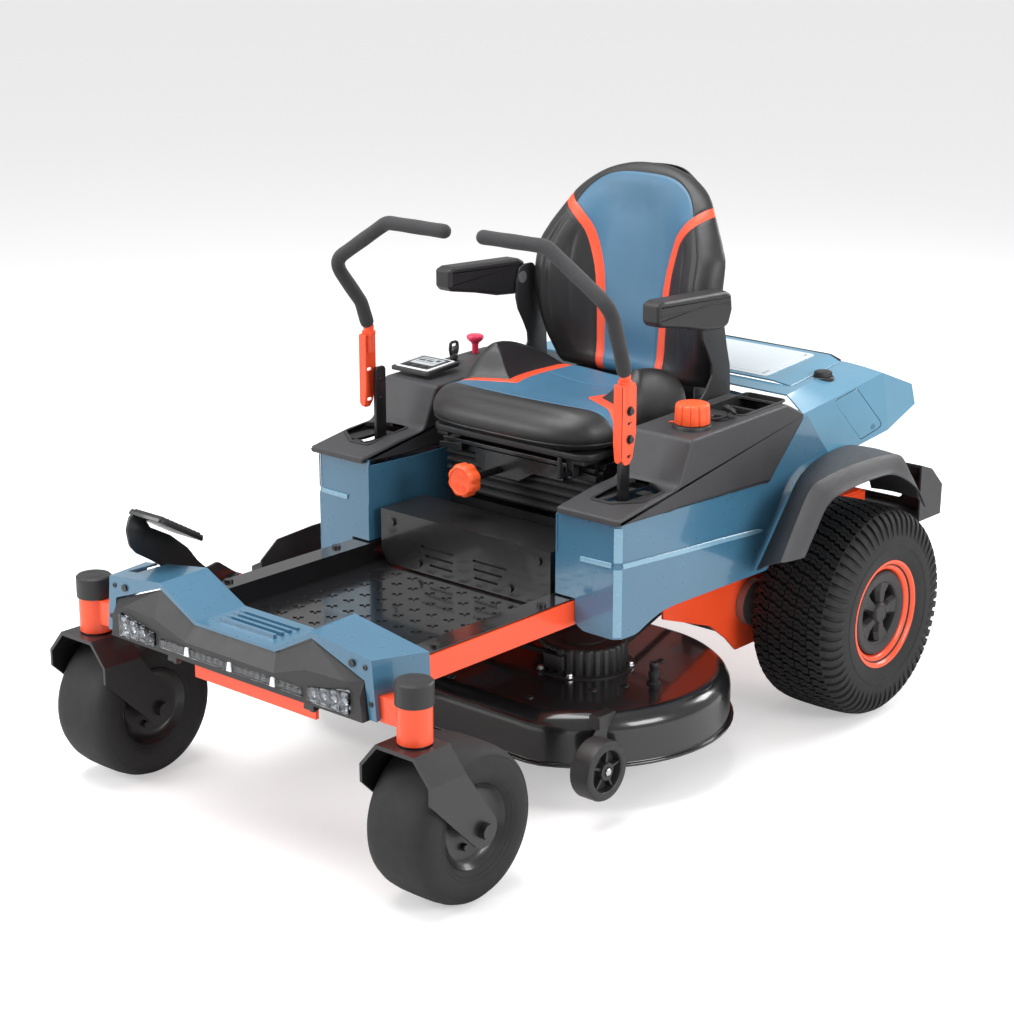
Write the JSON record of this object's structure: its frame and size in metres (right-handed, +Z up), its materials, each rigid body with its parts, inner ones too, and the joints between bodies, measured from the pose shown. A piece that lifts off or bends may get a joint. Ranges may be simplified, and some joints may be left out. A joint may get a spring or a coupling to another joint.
{
  "type": "zero turn mower",
  "caption": "Ride-on zero turn lawn mower with twin steering levers, suspended seat, mid-mounted cutting deck, front casters and rear drive wheels.",
  "frame": {"origin": "on the ground under the middle of the machine's bounding box", "axes": "+Z up, -Y towards the front of the machine, +X towards the operator's left"},
  "size_m": [1.1148, 1.786, 1.152],
  "materials": {
    "frame_paint": "gloss",
    "black_steel": "gloss",
    "black_plastic": "satin",
    "charcoal_plastic": "matte",
    "blue_plastic": "gloss",
    "tyre": "matte",
    "rubber": "matte",
    "cast_metal": "satin",
    "bright_steel": "satin",
    "lamp_lens": "gloss",
    "seat_vinyl": "satin",
    "red_plastic": "gloss",
    "orange_plastic": "gloss"
  },
  "bodies": {
    "chassis": {"main_frame": "frame_paint", "caster_caps": "black_plastic", "floor_pan": "black_steel", "toe_box": "black_steel", "bumper_cover": "blue_plastic", "front_fascia": "black_plastic", "front_lights": "lamp_lens", "side_panels": "blue_plastic", "left_console": "charcoal_plastic", "right_console": "charcoal_plastic", "rear_fenders": "charcoal_plastic", "rear_bumper": "charcoal_plastic", "engine": "cast_metal", "transaxles": "cast_metal", "display_panel": "black_plastic", "suspension_base": "black_steel", "frame_bolts": "bright_steel", "rear_shroud": "blue_plastic"},
    "left_caster": {"left_caster_fork": "black_steel"},
    "left_caster_wheel": {"left_caster_rim": "black_steel", "left_caster_tyre": "tyre"},
    "left_rear_wheel": {"left_rear_rim": "frame_paint", "left_rear_tyre": "tyre", "left_wheel_cover": "black_plastic"},
    "right_caster": {"right_caster_fork": "black_steel"},
    "right_caster_wheel": {"right_caster_rim": "black_steel", "right_caster_tyre": "tyre"},
    "right_rear_wheel": {"right_rear_rim": "frame_paint", "right_rear_tyre": "tyre", "right_wheel_cover": "black_plastic"},
    "hood_lid": {"hood": "blue_plastic"},
    "fuel_cap": {"fuel_cap": "black_plastic"},
    "access_door": {"access_door": "blue_plastic"},
    "lift_pedal": {"lift_pedal": "black_steel"},
    "deck": {"deck_shell": "black_steel", "spindle_covers": "black_plastic", "deck_belt": "rubber"},
    "engine_pulley": {"engine_pulley": "bright_steel"},
    "left_blade": {"left_cutting_spindle": "bright_steel"},
    "right_blade": {"right_cutting_spindle": "bright_steel"},
    "chute": {"discharge_chute": "black_plastic"},
    "antiscalp_wheel": {"antiscalp_wheel": "black_plastic"},
    "left_yoke": {"left_lever_yoke": "black_steel"},
    "left_lever": {"left_lap_bar": "frame_paint", "left_grip": "rubber"},
    "right_yoke": {"right_lever_yoke": "black_steel"},
    "right_lever": {"right_lap_bar": "frame_paint", "right_grip": "rubber"},
    "suspension": {"suspension_top": "black_steel", "bellows": "rubber"},
    "suspension_knob": {"suspension_knob": "orange_plastic"},
    "seat": {"seat_frame": "black_steel", "seat_cushion": "seat_vinyl", "seat_back": "seat_vinyl"},
    "seat_release": {"seat_adjust_lever": "black_steel"},
    "left_armrest": {"left_armrest": "seat_vinyl"},
    "right_armrest": {"right_armrest": "seat_vinyl"},
    "ignition_key": {"ignition_key": "black_plastic"},
    "pto_knob": {"pto_knob": "red_plastic"},
    "height_dial": {"height_dial": "orange_plastic"}
  },
  "joints": [
    {"name": "left_caster_swivel", "type": "hinge", "parent": "chassis", "child": "left_caster", "pos_m": [0.4334, -0.8284, 0.36], "axis": [0, 0, 1], "continuous": true},
    {"name": "left_caster_roll", "type": "hinge", "parent": "left_caster", "child": "left_caster_wheel", "pos_m": [0.4334, -0.745, 0.148], "axis": [1, 0, 0], "continuous": true},
    {"name": "left_rear_roll", "type": "hinge", "parent": "chassis", "child": "left_rear_wheel", "pos_m": [0.451, 0.498, 0.2286], "axis": [1, 0, 0], "continuous": true},
    {"name": "right_caster_swivel", "type": "hinge", "parent": "chassis", "child": "right_caster", "pos_m": [-0.4334, -0.8284, 0.36], "axis": [0, 0, 1], "continuous": true},
    {"name": "right_caster_roll", "type": "hinge", "parent": "right_caster", "child": "right_caster_wheel", "pos_m": [-0.4334, -0.745, 0.148], "axis": [1, 0, 0], "continuous": true},
    {"name": "right_rear_roll", "type": "hinge", "parent": "chassis", "child": "right_rear_wheel", "pos_m": [-0.451, 0.498, 0.2286], "axis": [1, 0, 0], "continuous": true},
    {"name": "hood_hinge", "type": "hinge", "parent": "chassis", "child": "hood_lid", "pos_m": [0, 0.69, 0.712], "axis": [-1, 0, 0], "range_deg": [0, 60]},
    {"name": "fuel_cap_turn", "type": "hinge", "parent": "chassis", "child": "fuel_cap", "pos_m": [0.33, 0.555, 0.704], "axis": [0, 0, 1], "range_deg": [0, 90]},
    {"name": "access_door_hinge", "type": "hinge", "parent": "chassis", "child": "access_door", "pos_m": [0.3976, 0.543, 0.6751], "axis": [0.0148, -0.9926, -0.1204], "range_deg": [0, 100]},
    {"name": "lift_pedal_pivot", "type": "hinge", "parent": "chassis", "child": "lift_pedal", "pos_m": [-0.33, -0.552, 0.372], "axis": [1, 0, 0], "range_deg": [-24, 6]},
    {"name": "deck_lift", "type": "slide", "parent": "chassis", "child": "deck", "axis": [0, 0, 1], "range_m": [-0.041, 0.0105]},
    {"name": "engine_pulley_spin", "type": "hinge", "parent": "chassis", "child": "engine_pulley", "pos_m": [0, 0.538, 0.23], "axis": [0, 0, 1], "continuous": true},
    {"name": "left_blade_spin", "type": "hinge", "parent": "deck", "child": "left_blade", "pos_m": [0.205, -0.094, 0.2], "axis": [0, 0, 1], "continuous": true},
    {"name": "right_blade_spin", "type": "hinge", "parent": "deck", "child": "right_blade", "pos_m": [-0.205, -0.094, 0.2], "axis": [0, 0, 1], "continuous": true},
    {"name": "chute_hinge", "type": "hinge", "parent": "deck", "child": "chute", "pos_m": [-0.506, -0.092, 0.19], "axis": [0, -1, 0], "range_deg": [0, 95]},
    {"name": "antiscalp_roll", "type": "hinge", "parent": "deck", "child": "antiscalp_wheel", "pos_m": [0.455, -0.352, 0.12], "axis": [1, 0, 0], "continuous": true},
    {"name": "left_lever_drive", "type": "hinge", "parent": "chassis", "child": "left_yoke", "pos_m": [0.3225, -0.131, 0.48], "axis": [1, 0, 0], "range_deg": [-15, 12]},
    {"name": "left_lever_swing", "type": "hinge", "parent": "left_yoke", "child": "left_lever", "pos_m": [0.33, -0.131, 0.515], "axis": [0, 1, 0], "range_deg": [0, 20]},
    {"name": "right_lever_drive", "type": "hinge", "parent": "chassis", "child": "right_yoke", "pos_m": [-0.3225, -0.131, 0.48], "axis": [1, 0, 0], "range_deg": [-15, 12]},
    {"name": "right_lever_swing", "type": "hinge", "parent": "right_yoke", "child": "right_lever", "pos_m": [-0.33, -0.131, 0.515], "axis": [0, -1, 0], "range_deg": [0, 20]},
    {"name": "seat_suspension", "type": "slide", "parent": "chassis", "child": "suspension", "axis": [0, 0, 1], "range_m": [-0.035, 0], "deforming": ["bellows"]},
    {"name": "suspension_knob_turn", "type": "hinge", "parent": "suspension", "child": "suspension_knob", "pos_m": [-0.052, -0.104, 0.555], "axis": [0, 1, 0], "continuous": true},
    {"name": "seat_slide", "type": "slide", "parent": "suspension", "child": "seat", "axis": [0, -1, 0], "range_m": [0, 0.1]},
    {"name": "seat_release_twist", "type": "hinge", "parent": "seat", "child": "seat_release", "pos_m": [0.162, -0.095, 0.592], "axis": [0, 1, 0], "range_deg": [0, 20]},
    {"name": "left_armrest_lift", "type": "hinge", "parent": "seat", "child": "left_armrest", "pos_m": [0.275, 0.236, 0.893], "axis": [-1, 0, 0], "range_deg": [0, 95]},
    {"name": "right_armrest_lift", "type": "hinge", "parent": "seat", "child": "right_armrest", "pos_m": [-0.275, 0.236, 0.893], "axis": [-1, 0, 0], "range_deg": [0, 95]},
    {"name": "key_turn", "type": "hinge", "parent": "chassis", "child": "ignition_key", "pos_m": [-0.372, 0.146, 0.71], "axis": [0, 0, -1], "range_deg": [0, 90]},
    {"name": "pto_pull", "type": "slide", "parent": "chassis", "child": "pto_knob", "axis": [0, 0, 1], "range_m": [0, 0.015]},
    {"name": "height_dial_turn", "type": "hinge", "parent": "chassis", "child": "height_dial", "pos_m": [0.36, 0.048, 0.7], "axis": [0, 0, 1], "range_deg": [0, 270]}
  ],
  "couplings": [
    {"joint": "deck_lift", "follows": "lift_pedal_pivot", "m_per_rad": 0.0955},
    {"joint": "left_blade_spin", "follows": "engine_pulley_spin", "ratio": 1.0833},
    {"joint": "right_blade_spin", "follows": "engine_pulley_spin", "ratio": 1.0833}
  ]
}
